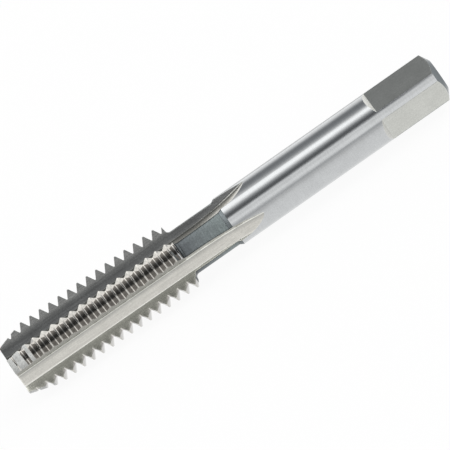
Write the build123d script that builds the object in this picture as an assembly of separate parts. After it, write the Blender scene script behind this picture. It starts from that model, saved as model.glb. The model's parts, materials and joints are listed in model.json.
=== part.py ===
from build123d import *
import math
import os

# Straight-fluted hand tap, M8 x 1.25, right-hand: one piece of hardened and ground high-speed steel.
# It is modelled upright on +Z, from the tip face at z = 0 to the end of the square, and laid down last.
# Angles are in degrees, and turn from +X towards +Y round the tool's own axis.

# ---- thread and lead ----
MAJOR_DIAMETER = 8.0
PITCH = 1.25
THREAD_ANGLE = 60.0
CREST_FLAT = 0.156
ROOT_FLAT = 0.10
THREAD_LENGTH = 22.0
THREAD_START = 1.141      # height at which the first thread groove crosses angle 0
TIP_DIAMETER = 6.18       # across the cutting edges at the small end of the tapered lead
LEAD_LENGTH = 3.03
LEAD_RELIEF = 0.24        # how far off the axis each lead tooth is ground, so that it falls away to its heel

# ---- neck and shank ----
SHOULDER_WALL_ANGLE = 10.7
SHOULDER_FILLET = 0.4
NECK_DIAMETER = 5.5
NECK_LENGTH = 6.0
NECK_CONE_LENGTH = 0.47
SHANK_DIAMETER = 6.0
OVERALL_LENGTH = 56.4

# ---- driving square and shank end ----
SQUARE_ACROSS_FLATS = 4.9
SQUARE_LENGTH = 8.0
SQUARE_RUN_IN_ANGLE = 43.0
SQUARE_CORNER_ANGLE = 12.2   # from the middle of a land to the nearest corner of the square
END_FACE_DIAMETER = 3.7
END_CHAMFER_ANGLE = 30.0

# ---- flutes ----
FLUTE_COUNT = 4
LAND_ANGLE = 31.0            # width of a land at the tip
FIRST_LAND = 45.0            # middle of the first land, so that two lands share the weight at rest
CORE_DIAMETER = 3.44
CORE_TAPER = 0.45
RAKE_ANGLE = 1.5
HEEL_WALL_ANGLE = 41.0       # from the middle line of the flute to its straight back wall
HEEL_CURVE_RADIUS = 10.0     # the back wall's slow curve towards the bottom
HEEL_CURVE_TURN = 7.0
FLUTE_BOTTOM_RADIUS = 0.2
BOTTOM_SLOPE = 11.0          # of the flat that leads from the round bottom to the cutting face
FULL_FLUTE_LENGTH = 24.1
WHEEL_RADIUS = 33.0          # grinding wheel that leaves the run-out at the end of each flute

# ---- centre holes ----
CENTRE_PILOT_DIAMETER = 0.8
CENTRE_COUNTERSINK_DIAMETER = 1.7
CENTRE_COUNTERSINK_ANGLE = 60.0
CENTRE_PILOT_DEPTH = 1.9

# ---- working allowance for cutters, which start clear of the metal ----
CLEAR = 0.5
SPACE_OVERRUN = 24.5     # how many degrees a tooth space runs on past each side of a land

major_radius = MAJOR_DIAMETER / 2
shank_radius = SHANK_DIAMETER / 2
neck_radius = NECK_DIAMETER / 2
flute_step = 360 / FLUTE_COUNT
half_flute = (flute_step - LAND_ANGLE) / 2
flank_slope = math.tan(math.radians(THREAD_ANGLE / 2))
thread_depth = (PITCH - CREST_FLAT - ROOT_FLAT) / 2 / flank_slope
root_radius = major_radius - thread_depth


def polar(radius, angle):
    """A point at a radius and an angle in degrees."""
    return Vector(radius * math.cos(math.radians(angle)), radius * math.sin(math.radians(angle)))


def blank():
    """The turned blank: thread cylinder, relieved neck, shank and chamfered end."""
    wall = math.radians(SHOULDER_WALL_ANGLE)
    neck_end = THREAD_LENGTH + NECK_LENGTH
    fillet_top = neck_radius + SHOULDER_FILLET * (1 - math.sin(wall))
    fillet_start = THREAD_LENGTH + (major_radius - fillet_top) * math.tan(wall)
    fillet_end = fillet_start + SHOULDER_FILLET * math.cos(wall)
    chamfer = (shank_radius - END_FACE_DIAMETER / 2) * math.tan(math.radians(END_CHAMFER_ANGLE))
    with BuildSketch(Plane.XZ) as half_section:
        with BuildLine():
            Polyline(
                (0, 0),
                (major_radius, 0),
                (major_radius, THREAD_LENGTH),
                (fillet_top, fillet_start),
            )
            TangentArc(
                (fillet_top, fillet_start),
                (neck_radius, fillet_end),
                tangent=(-math.cos(wall), math.sin(wall)),
            )
            Polyline(
                (neck_radius, fillet_end),
                (neck_radius, neck_end),
                (shank_radius, neck_end + NECK_CONE_LENGTH),
                (shank_radius, OVERALL_LENGTH - chamfer),
                (END_FACE_DIAMETER / 2, OVERALL_LENGTH),
                (0, OVERALL_LENGTH),
                (0, 0),
            )
        make_face()
    # The seam of the turned faces lies in a flute, off its middle.
    seam_angle = FIRST_LAND + flute_step / 2 + half_flute / 2
    return Rot(Z=seam_angle) * revolve(half_section.sketch, axis=Axis.Z)


def square_cutters():
    """What is ground off beside each flat of the driving square, with its sloping run-in."""
    flat = SQUARE_ACROSS_FLATS / 2
    outer = shank_radius + CLEAR
    start = OVERALL_LENGTH - SQUARE_LENGTH
    run_in = (outer - flat) * math.tan(math.radians(SQUARE_RUN_IN_ANGLE))
    outline = Plane.XZ * Polyline(
        (flat, OVERALL_LENGTH + CLEAR),
        (flat, start),
        (outer, start - run_in),
        (outer, OVERALL_LENGTH + CLEAR),
        close=True,
    )
    cutter = extrude(make_face(outline), amount=outer, both=True)
    quarter = 90
    first_flat = FIRST_LAND + SQUARE_CORNER_ANGLE + quarter / 2
    return [Rot(Z=first_flat + quarter * side) * cutter for side in range(4)]


def flute_section():
    """The form of the grinding wheel: back wall, slow curve, round bottom, flat and cutting face."""
    wall = math.radians(HEEL_WALL_ANGLE)
    curved = math.radians(HEEL_WALL_ANGLE + HEEL_CURVE_TURN)
    heel_crest = polar(major_radius, -half_flute)
    cutting_crest = polar(major_radius, half_flute)
    # The straight part of the wall is as long as it takes for the round bottom to touch the core.
    curve_drop = HEEL_CURVE_RADIUS * (math.sin(curved) - math.sin(wall))
    round_drop = FLUTE_BOTTOM_RADIUS * (1 - math.sin(curved))
    wall_drop = heel_crest.X - CORE_DIAMETER / 2 - curve_drop - round_drop
    heel_inward = polar(1, 180 - HEEL_WALL_ANGLE)
    rake_inward = polar(1, 180 + half_flute - RAKE_ANGLE)
    beyond = 2 * CLEAR
    to_path = Vector(CORE_DIAMETER / 2, 0)
    heel_start = heel_crest - heel_inward * beyond - to_path
    heel_end = heel_crest + heel_inward * (wall_drop / math.cos(wall)) - to_path
    rake_start = cutting_crest - rake_inward * beyond - to_path
    round_turn = 90 - HEEL_WALL_ANGLE - HEEL_CURVE_TURN + BOTTOM_SLOPE
    with BuildSketch() as section:
        with BuildLine():
            Line(heel_start, heel_end)
            slow = JernArc(heel_end, heel_inward, HEEL_CURVE_RADIUS, -HEEL_CURVE_TURN)
            bottom = JernArc(slow @ 1, slow % 1, FLUTE_BOTTOM_RADIUS, -round_turn)
            flat_start = bottom @ 1
            flat_along = bottom % 1
            gap = rake_start - flat_start
            reach = gap.cross(rake_inward).Z / flat_along.cross(rake_inward).Z
            crease = flat_start + flat_along * reach
            Polyline(flat_start, crease, rake_start, heel_start)
        make_face()
    return section.sketch


def flute_cutters():
    """Each flute runs straight along the thread, and rises out of the shank on the wheel's arc."""
    rise = math.tan(math.radians(CORE_TAPER))
    start = Vector(CORE_DIAMETER / 2 - CLEAR * rise, 0, -CLEAR)
    run_out = Vector(CORE_DIAMETER / 2 + FULL_FLUTE_LENGTH * rise, 0, FULL_FLUTE_LENGTH)
    height = major_radius + CLEAR - run_out.X
    sweep_angle = math.degrees(math.acos(1 - height / WHEEL_RADIUS))
    along = (run_out - start).normalized()
    across = Vector(along.Z, 0, -along.X)
    wheel_centre = run_out + across * WHEEL_RADIUS
    wheel_axis = Axis(wheel_centre, (0, 1, 0))
    section = flute_section()
    straight = extrude(Plane(start, across, along) * section, amount=(run_out - start).length)
    arc = revolve(Plane(run_out, across, along) * section, axis=wheel_axis, revolution_arc=sweep_angle)
    cutter = straight + arc
    first_flute = FIRST_LAND + flute_step / 2
    return [Rot(Z=first_flute + flute_step * turn) * cutter for turn in range(FLUTE_COUNT)]


def tooth_spaces():
    """The V spaces between the teeth: one piece of the right-hand thread groove per turn and land."""
    over = CLEAR / 2
    half_root = ROOT_FLAT / 2
    half_mouth = half_root + (thread_depth + over) * flank_slope
    span = LAND_ANGLE + 2 * SPACE_OVERRUN
    profile = Plane.XZ * Polyline(
        (root_radius, -half_root),
        (major_radius + over, -half_mouth),
        (major_radius + over, half_mouth),
        (root_radius, half_root),
        close=True,
    )
    helix = Helix(PITCH, PITCH * span / 360, root_radius)
    space = sweep(make_face(profile), path=helix, is_frenet=True)
    spaces = []
    for land in range(FLUTE_COUNT):
        angle = FIRST_LAND + flute_step * land - span / 2
        height = (THREAD_START + PITCH * angle / 360) % PITCH - PITCH
        while height < THREAD_LENGTH + PITCH:
            spaces.append(Pos(Z=height) * Rot(Z=angle) * space)
            height += PITCH
    return spaces


def lead_cutters():
    """What is ground off each land to taper it: a cone off the axis, lower at the heel than at the edge."""
    slope = (major_radius - TIP_DIAMETER / 2) / LEAD_LENGTH
    outer = major_radius + 2 * CLEAR
    outline = Plane.XZ * Polyline(
        (TIP_DIAMETER / 2 - CLEAR * slope, -CLEAR),
        (outer, -CLEAR),
        (outer, (outer - TIP_DIAMETER / 2) / slope),
        close=True,
    )
    margin = half_flute / 2
    wedge = revolve(make_face(outline), axis=Axis.Z, revolution_arc=LAND_ANGLE + 2 * margin)
    cutters = []
    for land in range(FLUTE_COUNT):
        edge = FIRST_LAND + flute_step * land - LAND_ANGLE / 2
        off_axis = polar(LEAD_RELIEF, edge - 90)
        cutters.append(Pos(off_axis) * Rot(Z=edge - margin) * wedge)
    return cutters


def centre_hole():
    """A 60 degree lathe centre with its pilot, opening downward at z = 0."""
    slope = math.tan(math.radians(CENTRE_COUNTERSINK_ANGLE / 2))
    mouth = CENTRE_COUNTERSINK_DIAMETER / 2
    pilot = CENTRE_PILOT_DIAMETER / 2
    outline = Plane.XZ * Polyline(
        (0, -CLEAR),
        (mouth + CLEAR * slope, -CLEAR),
        (pilot, (mouth - pilot) / slope),
        (pilot, CENTRE_PILOT_DEPTH),
        (0, CENTRE_PILOT_DEPTH + pilot * slope),
        close=True,
    )
    return revolve(make_face(outline), axis=Axis.Z)


def thread_tap():
    """The whole tap: ground square, flutes and centres, then the teeth on the lands."""
    tap = blank() - square_cutters() - flute_cutters() - lead_cutters()
    tap -= centre_hole()
    tap -= Pos(Z=OVERALL_LENGTH) * Rot(X=180) * centre_hole()
    tap -= tooth_spaces()
    return tap


def laid_down(tap):
    """At rest on the crests of two lands, with the axis along +X and the middle over the origin."""
    lying = Pos(X=-OVERALL_LENGTH / 2) * Rot(Y=90) * tap
    return Pos(Z=-lying.bounding_box().min.Z) * lying


os.makedirs("parts", exist_ok=True)
export_step(laid_down(thread_tap()), "parts/thread_tap.step")
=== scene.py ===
# %% [markdown]
# # A ground hand tap
# This scene dresses one solid: an M8 hand tap, ground from a bar of high-speed steel.
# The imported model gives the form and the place, in metres, with +X along the tool's axis from the tip to
# the driving square and the floor at z = 0. Nothing here moves or reshapes it. What is left to make is the
# look: a metal whose polish changes from surface to surface, a paper floor, a soft studio and a camera.

# %% Load the tap
import json
import math

import bpy
from mathutils import Matrix, Vector


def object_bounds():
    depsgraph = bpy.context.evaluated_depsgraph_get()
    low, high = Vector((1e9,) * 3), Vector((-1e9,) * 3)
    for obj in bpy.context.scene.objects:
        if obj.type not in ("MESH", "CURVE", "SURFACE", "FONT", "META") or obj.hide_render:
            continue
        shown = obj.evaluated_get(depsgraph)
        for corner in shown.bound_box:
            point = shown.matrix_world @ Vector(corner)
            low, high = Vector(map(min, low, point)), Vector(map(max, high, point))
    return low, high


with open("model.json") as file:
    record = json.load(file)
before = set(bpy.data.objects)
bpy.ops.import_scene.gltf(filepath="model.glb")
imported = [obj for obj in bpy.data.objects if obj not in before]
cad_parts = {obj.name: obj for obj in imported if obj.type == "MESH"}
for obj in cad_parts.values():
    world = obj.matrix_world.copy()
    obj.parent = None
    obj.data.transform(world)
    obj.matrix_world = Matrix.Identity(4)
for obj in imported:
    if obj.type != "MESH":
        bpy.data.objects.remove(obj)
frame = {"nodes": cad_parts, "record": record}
tap = frame["nodes"]["thread_tap"]
cad_low, cad_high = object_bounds()
print("tap box in mm:", [round(1000 * v, 2) for v in (*cad_low, *cad_high)])

# %% [markdown]
# A tap is one piece of steel, but each stretch of it meets a different wheel in the works. The turned blank
# is ground round, then the flutes, the square and the thread are ground into it. A material can only know
# where these stretches are if it knows the tool's own lengths, so they come first, in millimetres from the
# tip. One shift then turns Object coordinates into that measure.

# %% Lengths and radii of the tool
MM = 0.001
LEAD_END = 3.6           # the tapered first teeth, which start the cut
LEAD_FALL = 0.3          # how far their backs fall away below the root of the thread
THREAD_END = 22.3        # the shoulder behind the last tooth
RUN_OUT_START = 24.0     # from about here each flute rises out of the tool
NECK_END = 28.475        # where the small cone between neck and shank reaches the shank
FLUTE_END = 33.0
SQUARE_START = 47.5
CHAMFER_START = 55.72
BEFORE_TIP, PAST_END = -1.0, 60.0
ROOT_RADIUS = 3.14
NECK_RADIUS = 2.75
SHANK_RADIUS = 3.0
CREST_RADIUS = 4.0
FACET_SAG = 0.015        # how far a flat facet may lie inside the true round surface
ANYWHERE = 99.0          # farther out than any point of the tap
tip_x = cad_low.x
shank_mount = next(m for m in frame["record"]["mounts"] if m["name"] == "shank")
axis_z = shank_mount["pos_m"][2]
print("axis height in mm:", round(axis_z / MM, 3), "tip at x in mm:", round(tip_x / MM, 2))

# %% [markdown]
# Colours are written as sRGB hex, the way a colour picker shows them, and the nodes work in linear light, so
# one small function stands between the two. A second one adds a node, sets it and links it in a single
# call, which keeps a long material readable from top to bottom.


# %% Two helpers
def linear(hex_colour):
    """An sRGB hex colour as the linear RGBA that nodes expect."""
    channels = [int(hex_colour[i:i + 2], 16) / 255 for i in (1, 3, 5)]
    rgb = tuple(c / 12.92 if c <= 0.04045 else ((c + 0.055) / 1.055) ** 2.4 for c in channels)
    return rgb + (1.0,)


def add(tree, kind, settings=None, **sockets):
    """Adds a node. settings are its properties; sockets are values or other nodes' outputs."""
    node = tree.nodes.new("ShaderNode" + kind)
    for name, value in (settings or {}).items():
        setattr(node, name, value)
    for name, value in sockets.items():
        by_number = name.startswith("in") and name[2:].isdigit()
        key = int(name[2:]) if by_number else name
        if isinstance(value, bpy.types.NodeSocket):
            tree.links.new(value, node.inputs[key])
        else:
            node.inputs[key].default_value = value
    return node


print("sRGB #808080 is", round(linear("#808080")[0], 3), "in linear light")

# %% [markdown]
# High-speed steel is a hard iron alloy. Ground and left bare it is a neutral, slightly cool grey metal that
# reflects a little over half of the light. So the shader is fully metallic, keeps the default IOR, and its
# base colour stands for that reflectance. The polish is in the roughness, which differs from zone to zone.

# %% The steel
steel = bpy.data.materials.new("ground high-speed steel")
steel.use_nodes = True
tree = steel.node_tree
shader = tree.nodes["Principled BSDF"]
shader.inputs["Metallic"].default_value = 1.0
print("material:", steel.name, "metallic:", shader.inputs["Metallic"].default_value)

# %% [markdown]
# The wheels leave zones with sharp borders. They could be material slots, given to faces one by one, but
# this mesh is loose triangles that stay as they came, so the material finds its zones by itself. A zone is a
# box in a few measures of a point, such as its place along the tool. The Compare operation gives 1 where a
# value lies within a given distance of another, so the product of a few Compare nodes is a mask that is 1
# inside the zone and 0 outside it.


# %% A mask for a zone
def zone(*limits, within=None):
    """1 where every (value, low, high) lies between its limits, within another zone if given, else 0."""
    product = within
    for value, low, high in limits:
        middle, half = (low + high) / 2, (high - low) / 2
        inside = add(tree, "Math", {"operation": "COMPARE"}, in0=value, in1=middle, in2=half).outputs[0]
        if product is None:
            product = inside
        else:
            product = add(tree, "Math", {"operation": "MULTIPLY"}, in0=product, in1=inside).outputs[0]
    return product


# %% [markdown]
# On a tool of revolution four measures tell the zones apart: how far along the axis a point lies, how far
# out from it, which way its surface faces, and how that direction leans away from the spoke, the line that
# runs straight out from the axis through the point. On this tap the lean alone tells the parts of a flute
# apart: it is near 1 on the back wall, falls through 0 in the corner, and is near -1 on the cutting face.

# %% Where on the tool a point lies
place = add(tree, "TexCoord").outputs["Object"]
point_x = add(tree, "SeparateXYZ", Vector=place).outputs["X"]
along_mm = add(tree, "Math", {"operation": "MULTIPLY_ADD"},
               in0=point_x, in1=1 / MM, in2=-tip_x / MM).outputs[0]
from_axis = add(tree, "VectorMath", {"operation": "SUBTRACT"},
                in0=place, in1=(0.0, 0.0, axis_z)).outputs[0]
outward = add(tree, "VectorMath", {"operation": "MULTIPLY"},
              in0=from_axis, in1=(0.0, 1 / MM, 1 / MM)).outputs[0]
radius_mm = add(tree, "VectorMath", {"operation": "LENGTH"}, in0=outward).outputs["Value"]
spoke = add(tree, "VectorMath", {"operation": "NORMALIZE"}, in0=outward).outputs[0]
spoke_up = add(tree, "SeparateXYZ", Vector=spoke).outputs["Z"]
print("nodes that place a point:", len(tree.nodes))

# %% [markdown]
# Which way the surface faces comes from the Geometry node. Its Normal is smoothed over the triangles, as a
# curved flute needs. Where a flute starts to rise, though, the mesh has a few very thin triangles whose
# smoothed direction is wrong, which would show as bright specks. There the Normal and the True Normal
# disagree, so that disagreement is the mask for taking the true one.

# %% Which way the surface faces
AGREE = 0.95             # cosine below which the two directions disagree
surface = add(tree, "NewGeometry")
smooth_way, true_way = surface.outputs["Normal"], surface.outputs["True Normal"]
agreement = add(tree, "VectorMath", {"operation": "DOT_PRODUCT"},
                in0=smooth_way, in1=true_way).outputs["Value"]
doubtful = add(tree, "Math", {"operation": "LESS_THAN"}, in0=agreement, in1=AGREE).outputs[0]
sliver = zone((along_mm, RUN_OUT_START, FLUTE_END), within=doubtful)
facing = add(tree, "Mix", {"data_type": "VECTOR"}, in0=sliver, in4=smooth_way, in5=true_way).outputs[1]
facing_out = add(tree, "VectorMath", {"operation": "DOT_PRODUCT"}, in0=facing, in1=spoke).outputs["Value"]
facing_along = add(tree, "SeparateXYZ", Vector=facing).outputs["X"]
tilt = add(tree, "Math", {"operation": "ABSOLUTE"}, in0=facing_along).outputs[0]
turned = add(tree, "VectorMath", {"operation": "CROSS_PRODUCT"}, in0=spoke, in1=facing).outputs[0]
lean = add(tree, "SeparateXYZ", Vector=turned).outputs["X"]
print("nodes with the directions:", len(tree.nodes))

# %% [markdown]
# A flute is what lies inside the round surface it is ground into. That surface is lower in the neck than in
# the thread or the shank, and the tapered first teeth fall away behind their edges. So the limit between
# flute and round surface steps down and up again along the tool.
#
# Ground flutes aren't equally bright all over, and three more zones inside them allow for that. They are
# choices for the look and not parts of the form, and all three are painted light and shade. The flute that
# lies uppermost gets painted shade. The corner and back wall of the others, beside the neck and shank, are
# painted lighter. A narrow strip of the bottom, next to the cutting face, gets a painted highlight.

# %% Zones of the flutes
ALL = 1.1                # beyond the largest part that a direction can have
WALL_LEAN, CORNER_LEAN, FACE_LEAN = 0.72, -0.03, -0.88
FLUTE_TILT = 0.35        # a flute's own surfaces face along the tool by less than this
UPPERMOST = 0.6          # a spoke that points up by more than this lies in the uppermost flute
flute_limit = ROOT_RADIUS - FACET_SAG
for side, border, step in (("GREATER_THAN", THREAD_END, NECK_RADIUS - ROOT_RADIUS),
                           ("GREATER_THAN", NECK_END, SHANK_RADIUS - NECK_RADIUS),
                           ("LESS_THAN", LEAD_END, -LEAD_FALL)):
    beyond = add(tree, "Math", {"operation": side}, in0=along_mm, in1=border).outputs[0]
    flute_limit = add(tree, "Math", {"operation": "MULTIPLY_ADD"},
                      in0=beyond, in1=step, in2=flute_limit).outputs[0]
inside_round = add(tree, "Math", {"operation": "LESS_THAN"}, in0=radius_mm, in1=flute_limit).outputs[0]
lengthwise = zone((along_mm, BEFORE_TIP, FLUTE_END), (tilt, -ALL, FLUTE_TILT))
in_flute = add(tree, "Math", {"operation": "MULTIPLY"}, in0=inside_round, in1=lengthwise).outputs[0]
back_wall = zone((lean, WALL_LEAN, ALL), within=lengthwise)
cutting_face = zone((lean, -ALL, FACE_LEAN), within=lengthwise)
bottom = zone((lean, FACE_LEAN, CORNER_LEAN), within=in_flute)
# The flute that lies uppermost, which gets painted shade in the tones.
shaded_flute = zone((lean, FACE_LEAN, 0.8), (spoke_up, UPPERMOST, ALL), within=in_flute)
# The corner and back wall of the other flutes beside the neck and shank, which are painted lighter.
flute_light = zone((lean, -0.1, ALL), (spoke_up, -ALL, UPPERMOST), (along_mm, THREAD_END, PAST_END),
             within=in_flute)
# A strip of the bottom beside the cutting face, which gets a painted highlight.
crease_highlight = zone((lean, -0.72, -0.62), within=in_flute)
print("nodes with the zones of the flutes:", len(tree.nodes))

# %% [markdown]
# The other zones are told by their place along the tool, their radius and the way they face. A flank faces
# partly along the tool, a crest and a root face straight out, and the crest is farther from the axis. The
# shoulder ends the thread, and the cone ends the neck.

# %% Zones of the thread, neck, shank and square
flank = zone((along_mm, BEFORE_TIP, THREAD_END + 0.2), (tilt, 0.5, 0.95), (radius_mm, 2.9, ANYWHERE))
root = zone((along_mm, BEFORE_TIP, THREAD_END - 0.4), (facing_out, 0.93, ALL),
            (radius_mm, ROOT_RADIUS - 0.02, ROOT_RADIUS + 0.11))
crest = zone((along_mm, BEFORE_TIP, THREAD_END), (facing_out, 0.97, ALL),
             (radius_mm, CREST_RADIUS - 0.05, ANYWHERE))
lead = zone((along_mm, BEFORE_TIP, LEAD_END), (facing_out, 0.8, ALL), (facing_along, -0.62, -0.1))
# The shoulder behind the last tooth, which is painted dark as shade.
shaded_shoulder = zone((along_mm, THREAD_END - 0.35, THREAD_END + 0.45), (facing_along, 0.08, ALL),
                (radius_mm, 2.7, 3.8))
neck = zone((along_mm, THREAD_END, NECK_END), (facing_out, 0.6, ALL),
            (radius_mm, NECK_RADIUS - FACET_SAG, ANYWHERE))
cone = zone((along_mm, NECK_END - 0.5, NECK_END + 0.02), (facing_along, -0.8, -0.2),
            (radius_mm, 2.7, 3.1))
on_flat = zone((tilt, -ALL, 0.1), (radius_mm, 0.0, SHANK_RADIUS - FACET_SAG))
square = zone((along_mm, SQUARE_START, PAST_END), within=on_flat)
run_in = zone((along_mm, SQUARE_START - 0.5, SQUARE_START + 1.0), (facing_along, 0.5, 0.9))
chamfer = zone((along_mm, CHAMFER_START, PAST_END), (facing_along, 0.4, 0.95))
end = zone((tilt, 0.98, ALL))
print("nodes with all zones:", len(tree.nodes))

# %% [markdown]
# A grinding wheel leaves fine parallel scratches. Round the tool they run as rings, along a flute they run
# lengthwise. Noise that is stretched by a Mapping node gives lines of uneven strength, as real ones are, and
# a Wave Texture would give lines that are all alike. Two more noises give the fine sparkle of a ground
# surface and the slow clouds that handling leaves on it.

# %% Patterns
# Real scratches are a few hundredths of a millimetre apart, too fine for a picture of this size, so they are
# drawn at 0.14 to 0.16 mm, which is about a pixel and a half. The sparkle is drawn coarser in the same way.
RING_GAP, RING_REACH = 0.14 * MM, 1.5 * MM
LINE_GAP, LINE_REACH = 0.16 * MM, 5 * MM
GRAIN_SIZE, CLOUD_SIZE = 0.18 * MM, 1.8 * MM
scratches = []
for stretch in ((RING_GAP, RING_REACH, RING_REACH), (LINE_REACH, LINE_GAP, LINE_GAP)):
    stretched = add(tree, "Mapping", {"vector_type": "TEXTURE"}, Vector=place, Scale=stretch).outputs[0]
    scratches.append(add(tree, "TexNoise", Vector=stretched,
                         Scale=1.0, Detail=2.0, Roughness=0.6).outputs[0])
rings, lines = scratches
grains = add(tree, "TexNoise", Vector=place, Scale=1 / GRAIN_SIZE, Detail=1.0).outputs[0]
clouds = add(tree, "TexNoise", Vector=place, Scale=1 / CLOUD_SIZE, Detail=2.0).outputs[0]
print("rings and lines per cm:", round(10 * MM / RING_GAP), round(10 * MM / LINE_GAP))

# %% [markdown]
# Some zones aren't one colour from end to end. The neck is only turned, and it gets lighter towards the
# shank. The bottom of a flute is light and gets darker towards the corner, which is painted shade. The
# cutting face is lightest deep in the flute and darker out at the tips of the teeth, a painted reflection of
# the next land's back wall. A Map Range node turns a measure into a share from 0 to 1, and a Mix node blends
# two values by that share.

# %% Colours and roughnesses that change along a zone
neck_along = add(tree, "MapRange",
                 in0=along_mm, in1=THREAD_END + 0.4, in2=NECK_END - 1.0).outputs[0]
# Painted shade: the flute's bottom darkens towards the corner.
corner_shade_share = add(tree, "MapRange", in0=lean, in1=CORNER_LEAN, in2=-0.3).outputs[0]
# Painted reflection: the cutting face darkens towards the tips of the teeth.
face_reflection_share = add(tree, "MapRange", in0=radius_mm, in1=2.3, in2=3.6).outputs[0]
wall_drop = add(tree, "MapRange", in0=radius_mm, in1=3.1, in2=2.3).outputs[0]
neck_colour, bottom_colour, face_colour = [
    add(tree, "Mix", {"data_type": "RGBA"}, in0=share, in6=linear(first), in7=linear(last)).outputs[2]
    for share, first, last in ((neck_along, "#777C7F", "#8F9898"),
                               (corner_shade_share, "#A6A6A2", "#D8D6CF"),
                               (face_reflection_share, "#F0F0E6", "#8E8E87"))
]
wall_rough = add(tree, "Mix", in0=wall_drop, in2=0.26, in3=0.14).outputs[0]
corner_rough = add(tree, "Mix", in0=shaded_flute, in2=0.15, in3=0.5).outputs[0]
print("nodes with the blends:", len(tree.nodes))

# %% [markdown]
# The finishes are a list, and one loop stacks them with Mix nodes, each over the one before, so a zone near
# the end of the list wins. The first row is the round-ground shank, which also covers all that no zone
# claims. The thread is ground last and with the finest wheel, so it is the most polished. The turned neck,
# the cone and the shoulder stay dull, and the shoulder's dark colour is painted shade.

# %% Finishes
FINISHES = [  # zone, colour, roughness, share of rings, share of lines, unevenness
    (None, "#C6C8C9", 0.13, 0.25, 0.0, 0.3),                 # shank, ground round
    (neck, neck_colour, 0.55, 0.9, 0.0, 1.1),                # neck, as turned
    (cone, "#787E80", 0.5, 0.5, 0.0, 1.0),                   # and the small cone that ends it
    (in_flute, "#D6D6D0", corner_rough, 0.0, 0.8, 0.8),      # flute: its corner and what else is left
    (bottom, bottom_colour, 0.2, 0.0, 0.5, 0.45),
    (back_wall, "#BCBCB9", wall_rough, 0.0, 0.9, 0.9),
    (cutting_face, face_colour, 0.22, 0.0, 0.7, 0.8),
    (flank, "#BCBAB7", 0.06, 0.1, 0.0, 0.6),                 # thread, ground last
    (root, "#CCC9C3", 0.07, 0.1, 0.0, 0.5),
    (crest, "#C2C0BA", 0.07, 0.1, 0.0, 0.5),
    (shaded_shoulder, "#565A5C", 0.4, 0.3, 0.0, 1.0),               # behind the last tooth, dark with painted shade
    (lead, "#A9AAA8", 0.3, 0.4, 0.0, 1.2),                   # tapered backs of the first teeth
    (square, "#C9CAC5", 0.2, 0.0, 0.15, 0.4),                # square, ground flat
    (run_in, "#CECECA", 0.25, 0.0, 0.15, 0.4),
    (chamfer, "#6E7477", 0.15, 0.5, 0.0, 0.8),               # end faces, turned
    (end, "#A8ABAD", 0.35, 0.3, 0.0, 0.8),
]
(_, first_colour, rough, ring_share, line_share, uneven), *others = FINISHES
colour = linear(first_colour)
for where, paint, gloss, ringed, lined, patchy in others:
    paint = paint if isinstance(paint, bpy.types.NodeSocket) else linear(paint)
    colour = add(tree, "Mix", {"data_type": "RGBA"}, in0=where, in6=colour, in7=paint).outputs[2]
    rough = add(tree, "Mix", in0=where, in2=rough, in3=gloss).outputs[0]
    ring_share = add(tree, "Mix", in0=where, in2=ring_share, in3=ringed).outputs[0]
    line_share = add(tree, "Mix", in0=where, in2=line_share, in3=lined).outputs[0]
    uneven = add(tree, "Mix", in0=where, in2=uneven, in3=patchy).outputs[0]
print("finishes:", len(FINISHES), "nodes so far:", len(tree.nodes))

# %% [markdown]
# No real edge is perfectly sharp. Real bevels would change the form, so the Bevel node rounds only the
# shading: by a few hundredths of a millimetre on deburred edges, by less on the teeth, and by more in a
# flute, where it stands for the small fillet that catches the light along the crease. A second, wide one
# finds the edges: where its answer differs from the way the surface faces, there is an edge near. That
# difference is a mask for painted light and shade along the edges: a faint painted highlight on most of the
# tool, a stronger one in the bottom of the flutes, and painted shade along the edges of the turned neck and
# the flats of the square.

# %% Edges
EDGE_ROUND, TOOTH_ROUND, FILLET = 0.03 * MM, 0.008 * MM, 0.04 * MM
EDGE_SHADE_WIDTH = 0.3 * MM
FULL_EDGE_SHADE = 0.9           # cosine between the two directions at which the painted edge light and shade is full
on_thread = zone((along_mm, 3.4, THREAD_END), (radius_mm, ROOT_RADIUS - 0.1, ANYWHERE))
rounding = add(tree, "Mix", in0=on_thread, in2=EDGE_ROUND, in3=TOOTH_ROUND).outputs[0]
rounding = add(tree, "Math", {"operation": "MULTIPLY_ADD"},
               in0=in_flute, in1=FILLET, in2=rounding).outputs[0]
edge = add(tree, "Bevel", {"samples": 6}, Radius=rounding).outputs[0]
edge = add(tree, "Mix", {"data_type": "VECTOR"}, in0=sliver, in4=edge, in5=facing).outputs[1]
wide_edge = add(tree, "Bevel", {"samples": 6}, Radius=EDGE_SHADE_WIDTH).outputs[0]
same_way = add(tree, "VectorMath", {"operation": "DOT_PRODUCT"},
               in0=wide_edge, in1=facing).outputs["Value"]
# Painted light and shade along the edges, as a share from 0 to 1.
edge_light_and_shade = add(tree, "MapRange", in0=same_way, in1=1.0, in2=FULL_EDGE_SHADE, in3=0.0, in4=1.0).outputs[0]
flat_rim_shade = zone((along_mm, SQUARE_START + 1.3, CHAMFER_START - 0.12), within=on_flat)
edge_shade_gain = 0.06          # a faint painted highlight, where no zone below says otherwise
# Painted shade on the edges of the neck and of the square's flats, a painted highlight on the edges of the
# flute bottoms.
for where, gain in ((neck, -1.0), (flat_rim_shade, -0.8), (bottom, 0.5)):
    edge_shade_gain = add(tree, "Mix", in0=where, in2=edge_shade_gain, in3=gain).outputs[0]
edge_shade_tone = add(tree, "Math", {"operation": "MULTIPLY_ADD"}, in0=edge_light_and_shade, in1=edge_shade_gain, in2=1.0).outputs[0]
print("nodes with the edges:", len(tree.nodes))
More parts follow.
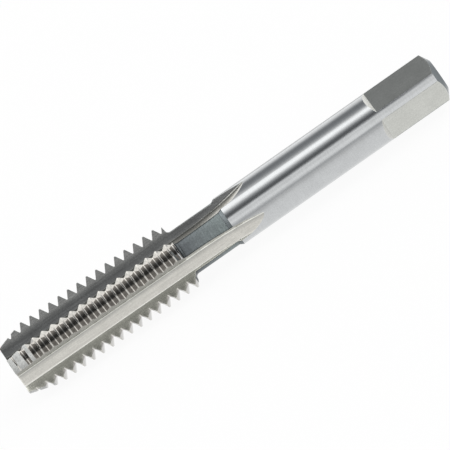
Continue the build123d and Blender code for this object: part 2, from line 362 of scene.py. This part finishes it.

# %% [markdown]
# The patterns reach the eye twice. First they make the steel slightly lighter and darker: each noise swings
# the tone about 1, by as much as its zone's share allows, and all tones are multiplied. Painted shade darkens
# the uppermost flute, most of it in the corner, and fades out where the flute rises.

# %% Tones
BOTTOM_SHADE = (25.0, 29.0, 0.52, 0.85)      # mm from the tip where the painted shade starts and ends to fade; tones there
CORNER_SHADE = (27.5, 30.0, 0.25, 0.75)
tone = edge_shade_tone
for pattern, darkest, lightest, swing, share in (       # a noise, its range, its swing, whose share
        (clouds, 0.3, 0.7, 0.09, uneven), (grains, 0.25, 0.75, 0.14, uneven),
        (rings, 0.3, 0.7, 0.14, ring_share), (lines, 0.3, 0.7, 0.14, line_share)):
    wave = add(tree, "MapRange",
               in0=pattern, in1=darkest, in2=lightest, in3=-swing, in4=swing).outputs[0]
    layer = add(tree, "Math", {"operation": "MULTIPLY_ADD"}, in0=wave, in1=share, in2=1.0).outputs[0]
    tone = add(tree, "Math", {"operation": "MULTIPLY"}, in0=tone, in1=layer).outputs[0]
# Painted shade on the uppermost flute, deepest in the corner, fading towards the run-out.
bottom_shade, corner_shade = [
    add(tree, "MapRange", in0=along_mm, in1=start, in2=finish, in3=shaded_tone, in4=faded_tone).outputs[0]
    for start, finish, shaded_tone, faded_tone in (BOTTOM_SHADE, CORNER_SHADE)
]
flute_shade = add(tree, "Mix", in0=bottom, in2=corner_shade, in3=bottom_shade).outputs[0]
# Painted shade on the uppermost flute, painted light on the others beside the neck and shank, and a painted
# highlight along the crease.
for where, level in ((shaded_flute, flute_shade), (flute_light, 1.25), (crease_highlight, 1.15)):
    layer = add(tree, "Mix", in0=where, in2=1.0, in3=level).outputs[0]
    tone = add(tree, "Math", {"operation": "MULTIPLY"}, in0=tone, in1=layer).outputs[0]
colour = add(tree, "VectorMath", {"operation": "SCALE"}, in0=colour, Scale=tone).outputs[0]
tree.links.new(colour, shader.inputs["Base Color"])
tree.links.new(rough, shader.inputs["Roughness"])
print("nodes with the tones:", len(tree.nodes))

# %% [markdown]
# Then the same patterns are a shallow bump, a few thousandths of a millimetre deep. It breaks the
# reflections into fine streaks, which no change of colour can do. Its Normal input takes the rounded edges,
# so both end up in the one direction that the shader gets.

# %% Bump, and the steel on the tap
GRAIN_SHARE = 0.8
height = add(tree, "Math", {"operation": "MULTIPLY"}, in0=rings, in1=ring_share).outputs[0]
for pattern, share in ((lines, line_share), (grains, GRAIN_SHARE)):
    height = add(tree, "Math", {"operation": "MULTIPLY_ADD"}, in0=pattern, in1=share, in2=height).outputs[0]
bump = add(tree, "Bump", Strength=0.5, Distance=0.004 * MM, Height=height, Normal=edge).outputs[0]
tree.links.new(bump, shader.inputs["Normal"])
tap.data.materials.clear()
tap.data.materials.append(steel)
print("nodes in the steel:", len(tree.nodes))

# %% [markdown]
# The tap lies on white paper. A floor that is only lit would come out grey, so for the camera most of it is
# emission of strength 1, which is white, and the small lit rest keeps the tap's shadow. Polished metal sees
# the same white paper, a little dimmer the farther it lies from the tap, as under a lamp that hangs above it.

# %% The floor
FLOOR_SIZE = 2.0
PAPER_GLOW = 0.92        # share of the paper that is emission, for the camera and in reflections
NEAR_GLOW, FAR_GLOW, FALLOFF = 1.02, 0.7, 0.04
bpy.ops.mesh.primitive_plane_add(size=FLOOR_SIZE)
floor = bpy.context.object
floor.name = "pale_floor"
paper = bpy.data.materials.new("white paper floor")
paper.use_nodes = True
tree = paper.node_tree
matt = tree.nodes["Principled BSDF"]
matt.inputs["Base Color"].default_value = linear("#F2F2F2")
matt.inputs["Roughness"].default_value = 0.9
path = add(tree, "LightPath")
seen = add(tree, "Math", {"operation": "MAXIMUM"},
           in0=path.outputs["Is Camera Ray"], in1=path.outputs["Is Glossy Ray"]).outputs[0]
glow_share = add(tree, "Math", {"operation": "MULTIPLY"}, in0=seen, in1=PAPER_GLOW).outputs[0]
floor_place = add(tree, "TexCoord").outputs["Object"]
floor_y = add(tree, "SeparateXYZ", Vector=floor_place).outputs["Y"]
sideways = add(tree, "Math", {"operation": "ABSOLUTE"}, in0=floor_y).outputs[0]
dimming = add(tree, "MapRange",
              in0=sideways, in1=0.0, in2=FALLOFF, in3=NEAR_GLOW, in4=FAR_GLOW).outputs[0]
strength = add(tree, "Mix", in0=path.outputs["Is Camera Ray"], in2=dimming, in3=1.0).outputs[0]
glow = add(tree, "Emission", Strength=strength).outputs[0]
sheet = add(tree, "MixShader", in0=glow_share, in1=matt.outputs[0], in2=glow).outputs[0]
tree.links.new(sheet, tree.nodes["Material Output"].inputs["Surface"])
floor.data.materials.append(paper)
print("floor:", floor.name, "width in mm:", round(FLOOR_SIZE / MM))

# %% [markdown]
# A round bar shows its surroundings as stripes: each stripe along the shank is one direction round the tool.
# Area lamps would need a lot of moving about to place those stripes. So the studio is written as a list of
# brightness by direction, from the front horizon over the top to the back horizon: a pale front, a dark gap,
# a lamp above, a dimmer ceiling behind it and a pale wall. The gaps between lamps are a little bluer than the
# lamps.

# %% The studio
STUDIO = [  # degrees round the tool, from the front horizon over the top to the back horizon; brightness
    (-180, 0.9), (-1, 0.9),            # below the horizon, where the floor hides it
    (0, 0.62), (12, 0.56), (18, 1.08), (24, 1.08), (30, 0.93), (36, 0.93), (40, 1.05), (42, 0.9),
    (46, 0.25), (49, 0.14), (56, 0.14), (62, 0.25), (70, 0.6), (77, 1.2), (83, 1.6), (89, 1.6),
    (96, 1.1), (102, 0.66), (110, 0.38), (122, 0.27), (134, 0.27), (142, 0.45), (152, 0.85),
    (162, 1.05), (180, 1.3),
]
PEAK = 2.5               # a colour ramp holds at most 1, so the ramp is scaled up by this
DUSK_LEVEL, DUSK_RANGE = 0.7, 0.4      # below this brightness the light turns bluer, over this range
world = bpy.data.worlds.new("soft studio")
bpy.context.scene.world = world
world.use_nodes = True
tree = world.node_tree
direction = add(tree, "SeparateXYZ", Vector=add(tree, "TexCoord").outputs["Generated"])
frontward = add(tree, "Math", {"operation": "MULTIPLY"}, in0=direction.outputs["Y"], in1=-1.0).outputs[0]
turn = add(tree, "Math", {"operation": "ARCTAN2"}, in0=direction.outputs["Z"], in1=frontward).outputs[0]
position = add(tree, "MapRange", in0=turn, in1=-math.pi, in2=math.pi, in3=0.0, in4=1.0).outputs[0]
ramp = add(tree, "ValToRGB", in0=position)
stops = ramp.color_ramp.elements       # a new ramp has two stops already
for i, (angle, level) in enumerate(STUDIO):
    spot = (angle + 180) / 360
    stop = stops[i] if i < 2 else stops.new(spot)
    stop.position = spot
    dusk = min(1.0, max(0.0, (DUSK_LEVEL - level) / DUSK_RANGE))
    tint = (1 - 0.03 * dusk, 1.0, 1 + 0.04 * dusk)
    stop.color = tuple(level / PEAK * c for c in tint) + (1.0,)
print("directions in the studio:", len(STUDIO))

# %% [markdown]
# The flanks of the teeth face along the tool, where that list has no say. So one more lamp hangs towards each
# end, a compact patch from about 20 degrees above the horizon up. A broad one would also light the end faces,
# until they were plain white. The camera itself sees plain white behind the floor: the Light Path node tells
# its rays from those that light the tap, so the background adds no light.

# %% The lamps at the ends, and the white background
END_LAMP = 2.6
LAMP_ASIDE, LAMP_HALF = 0.75, 0.16     # X of the direction to a lamp's middle, and half its width
LAMP_FOOT, LAMP_FULL = 0.36, 0.5       # Z of the direction where a lamp starts and where it is full
endways = add(tree, "Math", {"operation": "ABSOLUTE"}, in0=direction.outputs["X"]).outputs[0]
beside = add(tree, "Math", {"operation": "COMPARE"}, in0=endways, in1=LAMP_ASIDE, in2=LAMP_HALF).outputs[0]
raised = add(tree, "MapRange",
             in0=direction.outputs["Z"], in1=LAMP_FOOT, in2=LAMP_FULL, in3=0.0, in4=1.0).outputs[0]
lamp_share = add(tree, "Math", {"operation": "MULTIPLY"}, in0=beside, in1=raised).outputs[0]
lamp_colour = (END_LAMP / PEAK,) * 3 + (1.0,)
light = add(tree, "Mix", {"data_type": "RGBA"},
            in0=lamp_share, in6=ramp.outputs[0], in7=lamp_colour).outputs[2]
studio = tree.nodes["Background"]
studio.inputs["Strength"].default_value = PEAK
tree.links.new(light, studio.inputs["Color"])
path = add(tree, "LightPath")
white = add(tree, "Background", Color=(1.0, 1.0, 1.0, 1.0), Strength=1.0)
backdrop = add(tree, "MixShader", in0=path.outputs["Is Camera Ray"],
               in1=studio.outputs[0], in2=white.outputs[0]).outputs[0]
tree.links.new(backdrop, tree.nodes["World Output"].inputs["Surface"])
print("nodes in the world:", len(tree.nodes))

# %% [markdown]
# The camera looks down at the front of the tool by about a third of a right angle, and is rolled so that the
# tip points to the lower left. A near camera would draw the far end of the tool smaller. So this one stands
# 0.75 m off with a long lens, and its focal length follows from the width of the field it has to fill.

# %% The camera
ELEVATION = math.radians(32.8)
ROLL = math.radians(35.0)
DISTANCE = 0.75
FIELD = 49.02 * MM
MIDDLE = 27.892          # millimetres from the tip to the middle of the picture
BELOW = 0.095            # and how far that middle lies below the tool's axis
along = Vector((1, 0, 0))
away = Vector((0, math.cos(ELEVATION), -math.sin(ELEVATION)))
upright = Vector((0, math.sin(ELEVATION), math.cos(ELEVATION)))
right = math.cos(ROLL) * along - math.sin(ROLL) * upright
up = math.sin(ROLL) * along + math.cos(ROLL) * upright
aim = Vector((tip_x + MIDDLE * MM, 0, axis_z)) - BELOW * MM * upright
lens = bpy.data.cameras.new("camera")
lens.sensor_width = 36
lens.lens = lens.sensor_width * DISTANCE / FIELD
lens.clip_start, lens.clip_end = 0.01, 10
camera = bpy.data.objects.new("camera", lens)
bpy.context.scene.collection.objects.link(camera)
turned_to = Matrix((right, up, -away)).transposed().to_4x4()
camera.matrix_world = Matrix.Translation(aim - away * DISTANCE) @ turned_to
bpy.context.scene.camera = camera
bpy.context.scene.view_settings.view_transform = "Standard"
print("focal length in mm:", round(lens.lens, 1))
